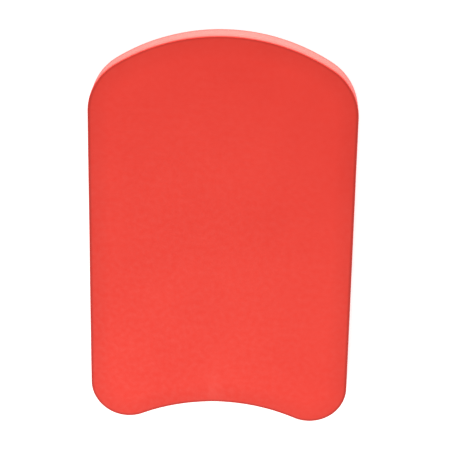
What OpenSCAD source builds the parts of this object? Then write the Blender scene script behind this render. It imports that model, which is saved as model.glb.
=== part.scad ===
// Swimming kickboard: a flat foam float with a domed nose, straight sides
// and a concave tail that the swimmer's body fits against.
// It is a bonded stack: a dense foam sheet on each face of a lighter foam
// core, with a thin film of contact adhesive in each joint.
// The board lies on its back sheet: X across, Y from tail to nose, Z up,
// with the origin under the middle of the board, at the resting face.

/* [Board] */
// Length from the two tail lobes to the crown of the nose
board_l = 450; // [380:1:560]
// Width across the parallel sides
board_w = 290; // [240:1:360]
// Thickness of the whole bonded stack
board_t = 30; // [24:0.5:45]

/* [Outline] */
// Radius of the domed nose
nose_r = 215; // [182:1:320]
// Radius that blends the nose into each side
shoulder_r = 64; // [40:1:90]
// Radius of each tail lobe
lobe_r = 42; // [32:1:52]
// Depth of the concave tail, from the lobes to its apex
tail_depth = 21; // [12:0.5:28]

/* [Bonded stack] */
// Thickness of each outer foam sheet
sheet_t = 6; // [4:0.1:9]
// Thickness of each adhesive film
glue_t = 0.2; // [0.1:0.05:0.4]
// How far each adhesive film stops short of the rim
glue_inset = 0.4; // [0.2:0.1:2]
// Rounding of the outer edge of each outer sheet
edge_r = 2; // [1:0.1:5]

/* [Hidden] */

SHEET_COLOUR = [0.93, 0.29, 0.25];
CORE_COLOUR = [0.97, 0.42, 0.38];
GLUE_COLOUR = [0.66, 0.17, 0.14];

// Curves are drawn as chords that stay this close to the true arc.
chord_sag = 0.03;
// An edge is never rounded so far that less than this much straight wall is
// left beneath it in its own sheet.
edge_land = 0.5;
edge_round = min(edge_r, sheet_t - edge_land);

// Heights of the layers, from the resting face up. The core takes up what the
// sheets and the films leave of the board's thickness.
core_z = sheet_t + glue_t;
face_sheet_z = board_t - sheet_t;
face_glue_z = face_sheet_z - glue_t;
core_t = face_glue_z - core_z;

// Centres of the outline's arcs, with the board's middle at the origin.
half_l = board_l / 2;
half_w = board_w / 2;
nose_y = half_l - nose_r;
shoulder_x = half_w - shoulder_r;
shoulder_y = nose_y + sqrt(pow(nose_r - shoulder_r, 2) - pow(shoulder_x, 2));
lobe_x = half_w - lobe_r;
lobe_y = lobe_r - half_l;
// The tail's arc is tangent to both lobes and reaches tail_depth at its apex.
tail_r = (pow(lobe_x, 2) + pow(lobe_r - tail_depth, 2) - pow(lobe_r, 2)) / (2 * tail_depth);
tail_y = tail_depth - half_l - tail_r;

// Directions, as angles from +X, in which neighbouring arcs meet.
nose_angle = atan2(shoulder_y - nose_y, shoulder_x);
tail_angle = atan2(lobe_y - tail_y, lobe_x);

// How many chords an arc takes to stay within chord_sag of the true curve.
function chords(r, sweep) = ceil(abs(sweep) / (2 * acos(1 - chord_sag / r)));

// Points along an arc about [x, y], up to but not including its end. An arc
// that is moved outwards by `grow` keeps the number of points it has at rest.
function arc(x, y, r, grow, from, to) =
    let (count = chords(r, to - from))
    [for (i = [0 : count - 1])
        let (a = from + (to - from) * i / count)
        [x + (r + grow) * cos(a), y + (r + grow) * sin(a)]];

// Right half of the outline pulled inwards by `inset`, from the tail's apex
// round the lobe, up the straight side and over the shoulder to the nose.
function right_half(inset) = concat(
    arc(0, tail_y, tail_r, inset, 90, tail_angle),
    arc(lobe_x, lobe_y, lobe_r, -inset, tail_angle - 180, -90),
    arc(lobe_x, lobe_y, lobe_r, -inset, -90, 0),
    [[half_w - inset, lobe_y]],
    arc(shoulder_x, shoulder_y, shoulder_r, -inset, 0, nose_angle),
    arc(0, nose_y, nose_r, -inset, nose_angle, 90)
);

// The whole outline, anticlockwise from the crown of the nose.
function outline(inset = 0) =
    let (right = right_half(inset), last = len(right) - 1)
    concat(
        [[0, half_l - inset]],
        [for (i = [last : -1 : 1]) [-right[i].x, right[i].y]],
        right
    );

// A layer of the stack with straight walls, lying on the XY plane.
module layer(t, inset = 0) {
    linear_extrude(t) polygon(outline(inset));
}

// A layer whose upper edge is rounded by `r`: a straight-walled layer, and on
// it rings of points that roll over the edge, closed below and above.
module rounded_layer(t, r) {
    turns = chords(r, 90);
    rings = [for (i = [0 : turns])
        let (a = 90 * i / turns)
        [for (p = outline(r * (1 - cos(a)))) [p.x, p.y, t - r + r * sin(a)]]];
    n = len(rings[0]);
    top = n * turns;
    layer(t - r);
    polyhedron(
        points = [for (ring = rings) each ring],
        faces = concat(
            [[for (i = [0 : n - 1]) i]],
            [for (base = [0 : n : top - n], i = [0 : n - 1])
                let (j = (i + 1) % n)
                [base + i, base + n + i, base + n + j, base + j]],
            [[for (i = [n : -1 : 1]) top + i % n]]
        )
    );
}

// Dense smooth sheet that the swimmer's hands and arms rest on.
module face_sheet() {
    color(SHEET_COLOUR) translate([0, 0, face_sheet_z]) rounded_layer(sheet_t, edge_round);
}

// Adhesive between the face sheet and the core.
module face_glue_film() {
    color(GLUE_COLOUR) translate([0, 0, face_glue_z]) layer(glue_t, glue_inset);
}

// Light closed-cell core that gives the board its lift.
module foam_core() {
    color(CORE_COLOUR) translate([0, 0, core_z]) layer(core_t);
}

// Adhesive between the core and the back sheet.
module back_glue_film() {
    color(GLUE_COLOUR) translate([0, 0, sheet_t]) layer(glue_t, glue_inset);
}

// Dense smooth sheet on the side that the board rests on.
module back_sheet() {
    color(SHEET_COLOUR) translate([0, 0, sheet_t]) mirror([0, 0, 1])
        rounded_layer(sheet_t, edge_round);
}

face_sheet();
face_glue_film();
foam_core();
back_glue_film();
back_sheet();
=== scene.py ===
"""Looks of a foam swimming kickboard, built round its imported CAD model.

Everything is in metres in the CAD's own frame: X across the board, Y from the
concave tail to the domed nose, Z up out of the front face. The board lies on
its back. Each foam layer is a soft, finely ringed mesh that replaces its plain
CAD solid. The two adhesive films between the layers stay as CAD solids.
"""

from math import atan2, ceil, cos, pi, radians, sin, sqrt

import bmesh
import bpy
from mathutils import Matrix, Vector, noise

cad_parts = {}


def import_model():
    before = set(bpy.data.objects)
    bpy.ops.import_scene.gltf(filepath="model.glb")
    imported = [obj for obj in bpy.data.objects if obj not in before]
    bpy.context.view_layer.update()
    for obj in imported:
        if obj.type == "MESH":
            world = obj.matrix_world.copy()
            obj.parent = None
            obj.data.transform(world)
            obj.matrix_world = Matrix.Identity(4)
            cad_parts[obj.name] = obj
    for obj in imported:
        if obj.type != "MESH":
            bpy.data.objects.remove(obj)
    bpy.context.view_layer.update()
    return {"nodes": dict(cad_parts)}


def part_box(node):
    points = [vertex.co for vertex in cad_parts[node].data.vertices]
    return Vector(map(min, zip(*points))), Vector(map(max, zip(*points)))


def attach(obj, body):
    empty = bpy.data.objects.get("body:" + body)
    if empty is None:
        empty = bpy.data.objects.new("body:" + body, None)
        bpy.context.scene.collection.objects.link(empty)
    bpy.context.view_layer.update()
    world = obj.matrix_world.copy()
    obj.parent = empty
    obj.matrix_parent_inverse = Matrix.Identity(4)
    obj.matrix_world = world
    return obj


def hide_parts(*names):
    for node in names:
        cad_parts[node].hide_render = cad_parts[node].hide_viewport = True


MM = 0.001
BODY = "root"

# ---------------------------------------------------------------- outline
# The four shapes of the outline that the CAD box doesn't give.
NOSE_R = 215 * MM
SHOULDER_R = 64 * MM
LOBE_R = 42 * MM
TAIL_DEPTH = 21 * MM

# Distance between neighbouring points along the outline.
POINT_SPACING = 3 * MM
# Rings of points follow the outline down to this inset, and shrink towards the
# middle of the board from there on.
PARALLEL_ZONE = 24 * MM

# ---------------------------------------------------------------- soft edges
# Rounding of the outer edge of each outer sheet.
EDGE_R = 2 * MM
EDGE_STEPS = 9
# A ring of points this far in from the rounding keeps the face flat up to it.
SUPPORT_STEP = 0.4 * MM
# The corner of each layer beside a bond line is eased by this much.
SEAM_R = 0.35 * MM
SEAM_STEPS = 3
WALL_STEP = 1.5 * MM
FACE_STEP = 6 * MM

# ---------------------------------------------------------------- relief
# Every point of a foam mesh carries its distance from the outline and its share of
# the press mark, under these names.
EDGE_DISTANCE = "edge_distance"
PRESS_MARK = "press_mark"
# Slow waves that soft foam has, from fractal noise: their greatest depth, their usual
# width, the power by which finer octaves weaken, how many times finer each octave is
# than the last, and how many there are.
WAVE_DEPTH = 0.16 * MM
WAVE_WIDTH = 70 * MM
WAVE_FALLOFF = 0.6
WAVE_FINENESS = 2.0
WAVE_OCTAVES = 3
# A faint, slightly paler press mark runs up the front face from just beside the
# middle of the tail. At its width to either side of its middle it is half as deep.
# It tapers to a share of that width, and fades out over the far end of its length.
MARK_X = -6 * MM
MARK_WIDTH = 8.5 * MM
MARK_TAPER = 0.35
MARK_LENGTH = 48 * MM
MARK_FADE = 0.4
MARK_DEPTH = 0.22 * MM
MARK_TINT = 0.32

# ---------------------------------------------------------------- colours
# Each pair of colours is the darkest and the palest of a surface's slow patches.
SKIN_COLOURS = ((0.775, 0.034, 0.021), (0.811, 0.041, 0.026))
SKIN_FLECK_COLOUR = (0.84, 0.058, 0.042)
MARK_COLOUR = (0.86, 0.078, 0.060)
CUT_COLOURS = ((0.80, 0.080, 0.068), (0.85, 0.104, 0.089))
CELL_WALL_COLOUR = (0.88, 0.145, 0.128)
ADHESIVE_COLOURS = ((0.34, 0.020, 0.015), (0.46, 0.032, 0.024))
FLOOR_COLOURS = ((0.70, 0.70, 0.70), (0.74, 0.74, 0.74))
WHITE = (1.0, 1.0, 1.0)

# Painted shade on the rounded edge of each sheet: the share of the full colour that the skin keeps
# there.
EDGE_SHADES = {"face_sheet": 0.72, "back_sheet": 0.97}
# The painted shade deepens to that share over this distance in from the wall.
EDGE_SHADE_WIDTH = 1.1 * MM
# Painted shade also makes the skin a little darker along the border of the face.
BORDER_SHADE = 0.905
BORDER_SHADE_WIDTH = 24 * MM
# The look of the cut wall gives way to the skin's between these distances from it.
CUT_END = 0.3 * MM
SKIN_START = 1.5 * MM

# ---------------------------------------------------------------- fine detail
# Widths and depths of what is too fine for the meshes. Detail is how many finer
# octaves a noise has.
SKIN_PATCH_WIDTH = 90 * MM
SKIN_PATCH_DETAIL = 3
SKIN_FLECK_WIDTH = 2.2 * MM
SKIN_FLECK_SHARE = 0.18
PORE_WIDTH = 0.9 * MM
PORE_DEPTH = 0.02 * MM
PEEL_WIDTH = 4 * MM
PEEL_DEPTH = 0.04 * MM
CUT_FLECK_WIDTH = 1.2 * MM
CUT_FLECK_SHARE = 0.4
OPEN_CELL_WIDTH = 0.8 * MM
OPEN_CELL_DEPTH = 0.06 * MM
# A blade leaves long low strokes round the wall, so their noise is squeezed in height.
STROKE_SQUEEZE = (1, 1, 6)
STROKE_COLOUR_WIDTH = 8 * MM
STROKE_COLOUR_DETAIL = 4
STROKE_WIDTH = 5 * MM
STROKE_DETAIL = 3
STROKE_DEPTH = 0.08 * MM
ADHESIVE_PATCH_WIDTH = 5 * MM
ADHESIVE_PATCH_DETAIL = 3
ADHESIVE_GRAIN_WIDTH = 1.5 * MM
ADHESIVE_GRAIN_DEPTH = 0.03 * MM
FLOOR_PATCH_WIDTH = 0.6
FLOOR_PATCH_DETAIL = 2

# Each surface's range of roughness, and the width of the patches it varies in.
SKIN_ROUGHNESS = (0.55, 0.65)
SKIN_ROUGHNESS_WIDTH = 6 * MM
CUT_ROUGHNESS = (0.55, 0.7)
CUT_ROUGHNESS_WIDTH = 3 * MM
ADHESIVE_ROUGHNESS = (0.35, 0.5)
ADHESIVE_ROUGHNESS_WIDTH = 2 * MM
FLOOR_ROUGHNESS = 0.9

# Strength of each surface's reflection, where 0.5 is ordinary plastic.
SKIN_SPECULAR = 0.25
CUT_SPECULAR = 0.4
FLOOR_SPECULAR = 0.1

# ---------------------------------------------------------------- studio
# The floor is wide enough to reach almost to the horizon in a low view.
FLOOR_SIDE = 190.0
FLOOR_SQUARES = 8
FLOOR_GLOW = 0.65
WORLD_STRENGTH = 0.36

# The camera looks down on the face from beyond the nose, with the nose up. Its lens
# is in millimetres.
CAMERA_TARGET = (3.85 * MM, 6.9 * MM, 15 * MM)
CAMERA_DISTANCE = 1.8363
CAMERA_ELEVATION = radians(68.87)
CAMERA_AZIMUTH = radians(5.2)
CAMERA_ROLL = radians(0.93)
CAMERA_LENS = 133.25

# name: place, point it faces, width, height, power in watts, colour, shows in gloss
LIGHTS = {
    "key": ((-0.22, -0.75, 1.2), (0, -0.05, 0), 0.8, 0.8, 16.3, (1.0, 0.985, 0.90), True),
    "nose_strip": ((0.05, 1.15, 0.085), (0, 0.2, 0.02), 1.1, 0.11, 29.5, WHITE, False),
}


# ---------------------------------------------------------------- shape
def arc(x, y, r, grow, start, end):
    """Points on an arc about (x, y), up to but not including its end."""
    count = ceil(r * abs(end - start) / POINT_SPACING)
    angles = [start + (end - start) * i / count for i in range(count)]
    return [(x + (r + grow) * cos(a), y + (r + grow) * sin(a)) for a in angles]


def outline(half_w, half_l, inset):
    """The board's outline pulled in by inset, anticlockwise from the crown of the nose."""
    nose_y = half_l - NOSE_R
    shoulder_x = half_w - SHOULDER_R
    shoulder_y = nose_y + sqrt((NOSE_R - SHOULDER_R) ** 2 - shoulder_x**2)
    lobe_x = half_w - LOBE_R
    lobe_y = LOBE_R - half_l
    tail_r = (lobe_x**2 + (LOBE_R - TAIL_DEPTH) ** 2 - LOBE_R**2) / (2 * TAIL_DEPTH)
    tail_y = TAIL_DEPTH - half_l - tail_r
    nose_angle = atan2(shoulder_y - nose_y, shoulder_x)
    tail_angle = atan2(lobe_y - tail_y, lobe_x)
    straight = ceil((shoulder_y - lobe_y) / POINT_SPACING)
    right = (
        arc(0, tail_y, tail_r, inset, pi / 2, tail_angle)
        + arc(lobe_x, lobe_y, LOBE_R, -inset, tail_angle - pi, 0)
        + [
            (half_w - inset, lobe_y + (shoulder_y - lobe_y) * i / straight)
            for i in range(straight)
        ]
        + arc(shoulder_x, shoulder_y, SHOULDER_R, -inset, 0, nose_angle)
        + arc(0, nose_y, NOSE_R, -inset, nose_angle, pi / 2)
    )
    left = [(-x, y) for x, y in reversed(right[1:])]
    return [(0, half_l - inset)] + left + right


def ring(half_w, half_l, inset):
    """The outline at an inset, which shrinks towards the middle once past PARALLEL_ZONE."""
    if inset <= PARALLEL_ZONE:
        return outline(half_w, half_l, inset)
    share = (half_w - inset) / (half_w - PARALLEL_ZONE)
    return [(x * share, y * share) for x, y in outline(half_w, half_l, PARALLEL_ZONE)]


def rounded_edge():
    """(inset, rise) from the top of a wall over the rounded edge to the flat of the face."""
    angles = [pi / 2 * i / EDGE_STEPS for i in range(EDGE_STEPS + 1)]
    return [(EDGE_R * (1 - cos(a)), EDGE_R * sin(a)) for a in angles]


def seam_corner():
    """(inset, rise) from the bonded face of a layer round its eased corner to its wall."""
    angles = [pi / 2 * i / SEAM_STEPS for i in range(SEAM_STEPS + 1)]
    return [(SEAM_R * (1 - sin(a)), SEAM_R * (1 - cos(a))) for a in angles]


def between(low, high, step):
    """Evenly spaced values strictly between two values, about step apart."""
    count = max(1, round((high - low) / step))
    return [low + (high - low) * i / count for i in range(1, count)]


def outer_sheet_rows(thickness, half_w):
    """(inset, height) of each ring of an outer sheet, from its bonded face up to its free face."""
    wall_top = thickness - EDGE_R
    flat_start = EDGE_R + SUPPORT_STEP
    rows = seam_corner() + [(0, z) for z in between(SEAM_R, wall_top, WALL_STEP)]
    rows += [(inset, wall_top + rise) for inset, rise in rounded_edge()]
    rows += [(flat_start, thickness)]
    rows += [(inset, thickness) for inset in between(flat_start, half_w, FACE_STEP)]
    return rows


def core_rows(thickness):
    """(inset, height) of each ring of the core, from its lower to its upper bonded face."""
    corner = seam_corner()
    wall = [(0, z) for z in between(SEAM_R, thickness - SEAM_R, WALL_STEP)]
    upper = [(inset, thickness - rise) for inset, rise in reversed(corner)]
    return corner + wall + upper


def foam_layer(name, node, rows, face_up=True):
    """A closed mesh of rings in the place of a CAD layer. face_up says which way its rows rise."""
    low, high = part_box(node)
    base = low.z if face_up else high.z
    way = 1 if face_up else -1
    bm = bmesh.new()
    for layer in (EDGE_DISTANCE, PRESS_MARK):
        bm.verts.layers.float.new(layer)
    edge = bm.verts.layers.float[EDGE_DISTANCE]
    rings = []
    for inset, z in rows:
        points = ring(high.x, high.y, inset)
        rings.append([bm.verts.new((x, y, base + way * z)) for x, y in points])
        for v in rings[-1]:
            v[edge] = inset
    count = len(rings[0])
    for lower, upper in zip(rings, rings[1:]):
        for i in range(count):
            j = (i + 1) % count
            bm.faces.new((lower[i], lower[j], upper[j], upper[i]))
    for last, z in ((rings[0], rows[0][1]), (rings[-1], rows[-1][1])):
        middle = bm.verts.new((0, 0, base + way * z))
        middle[edge] = high.x
        for i in range(count):
            bm.faces.new((last[i], last[(i + 1) % count], middle))
    bmesh.ops.recalc_face_normals(bm, faces=bm.faces)
    bm.normal_update()
    relief(bm, marked_above=high.z - EDGE_R if node == "face_sheet" else None)
    mesh = bpy.data.meshes.new(name)
    bm.to_mesh(mesh)
    bm.free()
    mesh.shade_smooth()
    piece = bpy.data.objects.new(name, mesh)
    bpy.context.scene.collection.objects.link(piece)
    return piece


def press_mark(x, above_tail):
    """Share of the press mark at a point of the front face: narrower and fainter away from the tail."""
    along = max(0, 1 - above_tail / MARK_LENGTH)
    width = MARK_WIDTH * (MARK_TAPER + (1 - MARK_TAPER) * along)
    return min(1, along / MARK_FADE) * 2 ** (-(((x - MARK_X) / width) ** 2))


def wave(place):
    """Depth of the slow waves at a point, from 0 to WAVE_DEPTH."""
    height = noise.fractal(place / WAVE_WIDTH, WAVE_FALLOFF, WAVE_FINENESS, WAVE_OCTAVES)
    return WAVE_DEPTH * (0.5 + 0.5 * max(-1, min(1, height)))


def relief(bm, marked_above):
    """Sinks each point along its normal: slow waves all over, and the press mark on the front face."""
    mark = bm.verts.layers.float[PRESS_MARK]
    normals = {v: v.normal.copy() for v in bm.verts}
    apex_y = min(v.co.y for v in bm.verts) + TAIL_DEPTH
    for v in bm.verts:
        depth = wave(v.co)
        if marked_above is not None and v.co.z > marked_above:
            v[mark] = press_mark(v.co.x, v.co.y - apex_y)
            depth += MARK_DEPTH * v[mark]
        v.co -= normals[v] * depth


# ---------------------------------------------------------------- materials
class Nodes:
    """Short spellings for building one material's node tree."""

    # A Mix node's colour sockets share their names with its other sockets, so they
    # are taken by their places.
    MIX_COLOUR_INPUTS = (6, 7)
    MIX_COLOUR_OUTPUT = 2

    def __init__(self, name):
        self.material = bpy.data.materials.new(name)
        self.material.use_nodes = True
        self.tree = self.material.node_tree
        self.shader = self.tree.nodes["Principled BSDF"]
        self.place = self.add("ShaderNodeTexCoord").outputs["Object"]

    def add(self, kind, **settings):
        node = self.tree.nodes.new(kind)
        for key, value in settings.items():
            setattr(node, key, value)
        return node

    def link(self, source, target):
        self.tree.links.new(source, target)

    def drive(self, socket, source):
        """Links a value or a colour to one of the shader's own sockets."""
        self.link(source, self.shader.inputs[socket])

    def fix(self, socket, value):
        """Sets one of the shader's own sockets to the same value all over."""
        self.shader.inputs[socket].default_value = value

    def stretched(self, scale):
        """Object coordinates multiplied per axis."""
        node = self.add("ShaderNodeMapping", vector_type="POINT")
        node.inputs["Scale"].default_value = scale
        self.link(self.place, node.inputs["Vector"])
        return node.outputs["Vector"]

    def noise(self, width, detail=2.0, place=None):
        """Noise whose patches are about width across, in metres."""
        node = self.add("ShaderNodeTexNoise")
        node.inputs["Scale"].default_value = 1 / width
        node.inputs["Detail"].default_value = detail
        self.link(place or self.place, node.inputs["Vector"])
        return node.outputs["Fac"]

    def cells(self, width):
        """Distance from the middle of the nearest foam cell, with cells width across."""
        node = self.add("ShaderNodeTexVoronoi")
        node.inputs["Scale"].default_value = 1 / width
        self.link(self.place, node.inputs["Vector"])
        return node.outputs["Distance"]

    def spread(self, value, low, high, start=0.3, end=0.7):
        """Turns a value from start..end into low..high. Noise mostly lies from 0.3 to 0.7."""
        node = self.add("ShaderNodeMapRange")
        node.inputs["From Min"].default_value = start
        node.inputs["From Max"].default_value = end
        node.inputs["To Min"].default_value = low
        node.inputs["To Max"].default_value = high
        self.link(value, node.inputs["Value"])
        return node.outputs["Result"]

    def blend(self, share, first, second):
        """Mixes two colours, each a tuple or an output."""
        node = self.add("ShaderNodeMix", data_type="RGBA")
        self.link(share, node.inputs["Factor"])
        for index, colour in zip(self.MIX_COLOUR_INPUTS, (first, second)):
            if isinstance(colour, tuple):
                node.inputs[index].default_value = (*colour, 1)
            else:
                self.link(colour, node.inputs[index])
        return node.outputs[self.MIX_COLOUR_OUTPUT]

    def patches(self, width, detail, colours, place=None):
        """A pair of colours in patches that are about width across."""
        return self.blend(self.spread(self.noise(width, detail, place), 0, 1), *colours)

    def flecks(self, width, share, under, colour):
        """Flecks of a colour, which take up to a share of it, over another."""
        return self.blend(self.spread(self.noise(width), 0, share, 0, 1), under, colour)

    def stored(self, name):
        """The value that the mesh's points carry under a name."""
        return self.add("ShaderNodeAttribute", attribute_name=name).outputs["Fac"]

    def combine(self, operation, first, second):
        """Two values put together with a maths operation."""
        node = self.add("ShaderNodeMath", operation=operation)
        self.link(first, node.inputs[0])
        self.link(second, node.inputs[1])
        return node.outputs["Value"]

    def dimmed(self, colour, share):
        """A colour multiplied by a value."""
        node = self.add("ShaderNodeVectorMath", operation="SCALE")
        self.link(colour, node.inputs[0])
        self.link(share, node.inputs["Scale"])
        return node.outputs["Vector"]

    def bump(self, height, depth, under=None):
        """Bumps of a depth in metres, laid over the bumps that under gives."""
        node = self.add("ShaderNodeBump")
        node.inputs["Distance"].default_value = depth
        node.inputs["Strength"].default_value = 1.0
        self.link(height, node.inputs["Height"])
        if under is not None:
            self.link(under, node.inputs["Normal"])
        return node.outputs["Normal"]


def painted_shade_share(n, away, edge_shade):
    """Share of the full colour that painted shade leaves: least on the rounded edge, and a little less
    along the border of the face.
    """
    from_wall = n.spread(away, 1, edge_shade, 0, EDGE_SHADE_WIDTH)
    onto_face = n.spread(away, edge_shade, 1, EDGE_R, 2 * EDGE_R)
    line = n.combine("MAXIMUM", from_wall, onto_face)
    border = n.spread(away, BORDER_SHADE, 1, EDGE_R, BORDER_SHADE_WIDTH)
    return n.combine("MULTIPLY", line, border)


def cut_colour(n):
    """Cut closed-cell foam: paler than its skin, with long strokes of the blade and pale cell walls."""
    squeezed = n.stretched(STROKE_SQUEEZE)
    strokes = n.patches(STROKE_COLOUR_WIDTH, STROKE_COLOUR_DETAIL, CUT_COLOURS, squeezed)
    return n.flecks(CUT_FLECK_WIDTH, CUT_FLECK_SHARE, strokes, CELL_WALL_COLOUR)


def blade_marks(n):
    """Height of the faint strokes that a blade leaves along a cut wall."""
    return n.noise(STROKE_WIDTH, STROKE_DETAIL, n.stretched(STROKE_SQUEEZE))


def foam_skin(name, edge_shade):
    """An outer sheet: smooth, dense skin on its face, with close pores and a slight orange peel.
    Its wall was cut with the core's, and looks the same."""
    n = Nodes(name)
    away = n.stored(EDGE_DISTANCE)
    cut = n.spread(away, 1, 0, CUT_END, SKIN_START)
    skin = n.patches(SKIN_PATCH_WIDTH, SKIN_PATCH_DETAIL, SKIN_COLOURS)
    skin = n.flecks(SKIN_FLECK_WIDTH, SKIN_FLECK_SHARE, skin, SKIN_FLECK_COLOUR)
    mark = n.spread(n.stored(PRESS_MARK), 0, MARK_TINT, 0, 1)
    skin = n.blend(mark, skin, MARK_COLOUR)
    colour = n.blend(cut, skin, cut_colour(n))
    # Painted shade darkens the colour on the rounded edge and along the border of the face.
    n.drive("Base Color", n.dimmed(colour, painted_shade_share(n, away, edge_shade)))
    n.drive("Roughness", n.spread(n.noise(SKIN_ROUGHNESS_WIDTH), *SKIN_ROUGHNESS))
    pores = n.bump(n.cells(PORE_WIDTH), PORE_DEPTH)
    peel = n.bump(n.noise(PEEL_WIDTH), PEEL_DEPTH, under=pores)
    strokes = n.combine("MULTIPLY", blade_marks(n), cut)
    n.drive("Normal", n.bump(strokes, STROKE_DEPTH, under=peel))
    n.fix("Specular IOR Level", SKIN_SPECULAR)
    return n.material


def cut_foam():
    """The core's wall: cut, rougher than the skin, with open cells."""
    n = Nodes("cut_foam")
    n.drive("Base Color", cut_colour(n))
    n.drive("Roughness", n.spread(n.noise(CUT_ROUGHNESS_WIDTH), *CUT_ROUGHNESS))
    open_cells = n.bump(n.cells(OPEN_CELL_WIDTH), OPEN_CELL_DEPTH)
    n.drive("Normal", n.bump(blade_marks(n), STROKE_DEPTH, under=open_cells))
    n.fix("Specular IOR Level", CUT_SPECULAR)
    return n.material


def adhesive():
    """The thin film in each joint: darker and a little glossy."""
    n = Nodes("adhesive")
    n.drive("Base Color", n.patches(ADHESIVE_PATCH_WIDTH, ADHESIVE_PATCH_DETAIL, ADHESIVE_COLOURS))
    n.drive("Roughness", n.spread(n.noise(ADHESIVE_ROUGHNESS_WIDTH), *ADHESIVE_ROUGHNESS))
    n.drive("Normal", n.bump(n.noise(ADHESIVE_GRAIN_WIDTH), ADHESIVE_GRAIN_DEPTH))
    return n.material


def floor_material():
    """A plain pale sweep, lit up a little so that it reads as white."""
    n = Nodes("pale_floor")
    n.drive("Base Color", n.patches(FLOOR_PATCH_WIDTH, FLOOR_PATCH_DETAIL, FLOOR_COLOURS))
    n.fix("Roughness", FLOOR_ROUGHNESS)
    n.fix("Specular IOR Level", FLOOR_SPECULAR)
    n.fix("Emission Color", (*WHITE, 1))
    n.fix("Emission Strength", FLOOR_GLOW)
    return n.material


# ---------------------------------------------------------------- the scene
def floor():
    """A wide flat floor, which isn't part of the model."""
    bm = bmesh.new()
    bmesh.ops.create_grid(
        bm, x_segments=FLOOR_SQUARES, y_segments=FLOOR_SQUARES, size=FLOOR_SIDE / 2
    )
    mesh = bpy.data.meshes.new("floor")
    bm.to_mesh(mesh)
    bm.free()
    mesh.materials.append(floor_material())
    piece = bpy.data.objects.new("floor", mesh)
    bpy.context.scene.collection.objects.link(piece)


def lights():
    """Soft rectangular lamps, which the camera doesn't see."""
    for name, (place, aim, width, height, power, colour, in_gloss) in LIGHTS.items():
        data = bpy.data.lights.new(name, "AREA")
        data.shape = "RECTANGLE"
        data.size = width
        data.size_y = height
        data.energy = power
        data.color = colour
        lamp = bpy.data.objects.new(name, data)
        lamp.location = place
        lamp.rotation_euler = (Vector(aim) - Vector(place)).to_track_quat("-Z", "Y").to_euler()
        lamp.visible_camera = False
        lamp.visible_glossy = in_gloss
        bpy.context.scene.collection.objects.link(lamp)


def world():
    """An even white sky."""
    sky = bpy.data.worlds.new("studio")
    sky.use_nodes = True
    background = sky.node_tree.nodes["Background"]
    background.inputs["Color"].default_value = (*WHITE, 1)
    background.inputs["Strength"].default_value = WORLD_STRENGTH
    bpy.context.scene.world = sky


def camera():
    """A camera aimed at its target from its azimuth and elevation, then rolled."""
    flat = cos(CAMERA_ELEVATION)
    away = Vector((sin(CAMERA_AZIMUTH) * flat, cos(CAMERA_AZIMUTH) * flat, sin(CAMERA_ELEVATION)))
    along_board = Vector((0, 1, 0))
    level = (along_board - away * along_board.dot(away)).normalized()
    up = Matrix.Rotation(CAMERA_ROLL, 3, away) @ level
    right = up.cross(away)
    data = bpy.data.cameras.new("camera")
    data.lens = CAMERA_LENS
    piece = bpy.data.objects.new("camera", data)
    turn = Matrix((right, up, away)).transposed().to_4x4()
    piece.matrix_world = Matrix.Translation(Vector(CAMERA_TARGET) + away * CAMERA_DISTANCE) @ turn
    bpy.context.scene.collection.objects.link(piece)
    bpy.context.scene.camera = piece


def dress(piece, material, node):
    """Gives a foam layer its material, and its place in the frame."""
    piece.data.materials.append(material)
    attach(piece, BODY)
    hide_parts(node)


def outer_sheets():
    """The front and back sheets, each with its free face outwards."""
    for node, edge_shade in EDGE_SHADES.items():
        low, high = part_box(node)
        rows = outer_sheet_rows(high.z - low.z, high.x)
        piece = foam_layer(node + "_foam", node, rows, face_up=node == "face_sheet")
        dress(piece, foam_skin(node + "_skin", edge_shade), node)


def core():
    """The core, which only shows as a wall."""
    low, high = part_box("foam_core")
    piece = foam_layer("core_foam", "foam_core", core_rows(high.z - low.z))
    dress(piece, cut_foam(), "foam_core")


def films(frame):
    """Gives the adhesive films, which stay as CAD solids, their material."""
    material = adhesive()
    for node in ("face_glue_film", "back_glue_film"):
        frame["nodes"][node].material_slots[0].material = material


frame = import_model()
camera()
outer_sheets()
core()
films(frame)
floor()
lights()
world()
bpy.context.scene.view_settings.view_transform = "Standard"
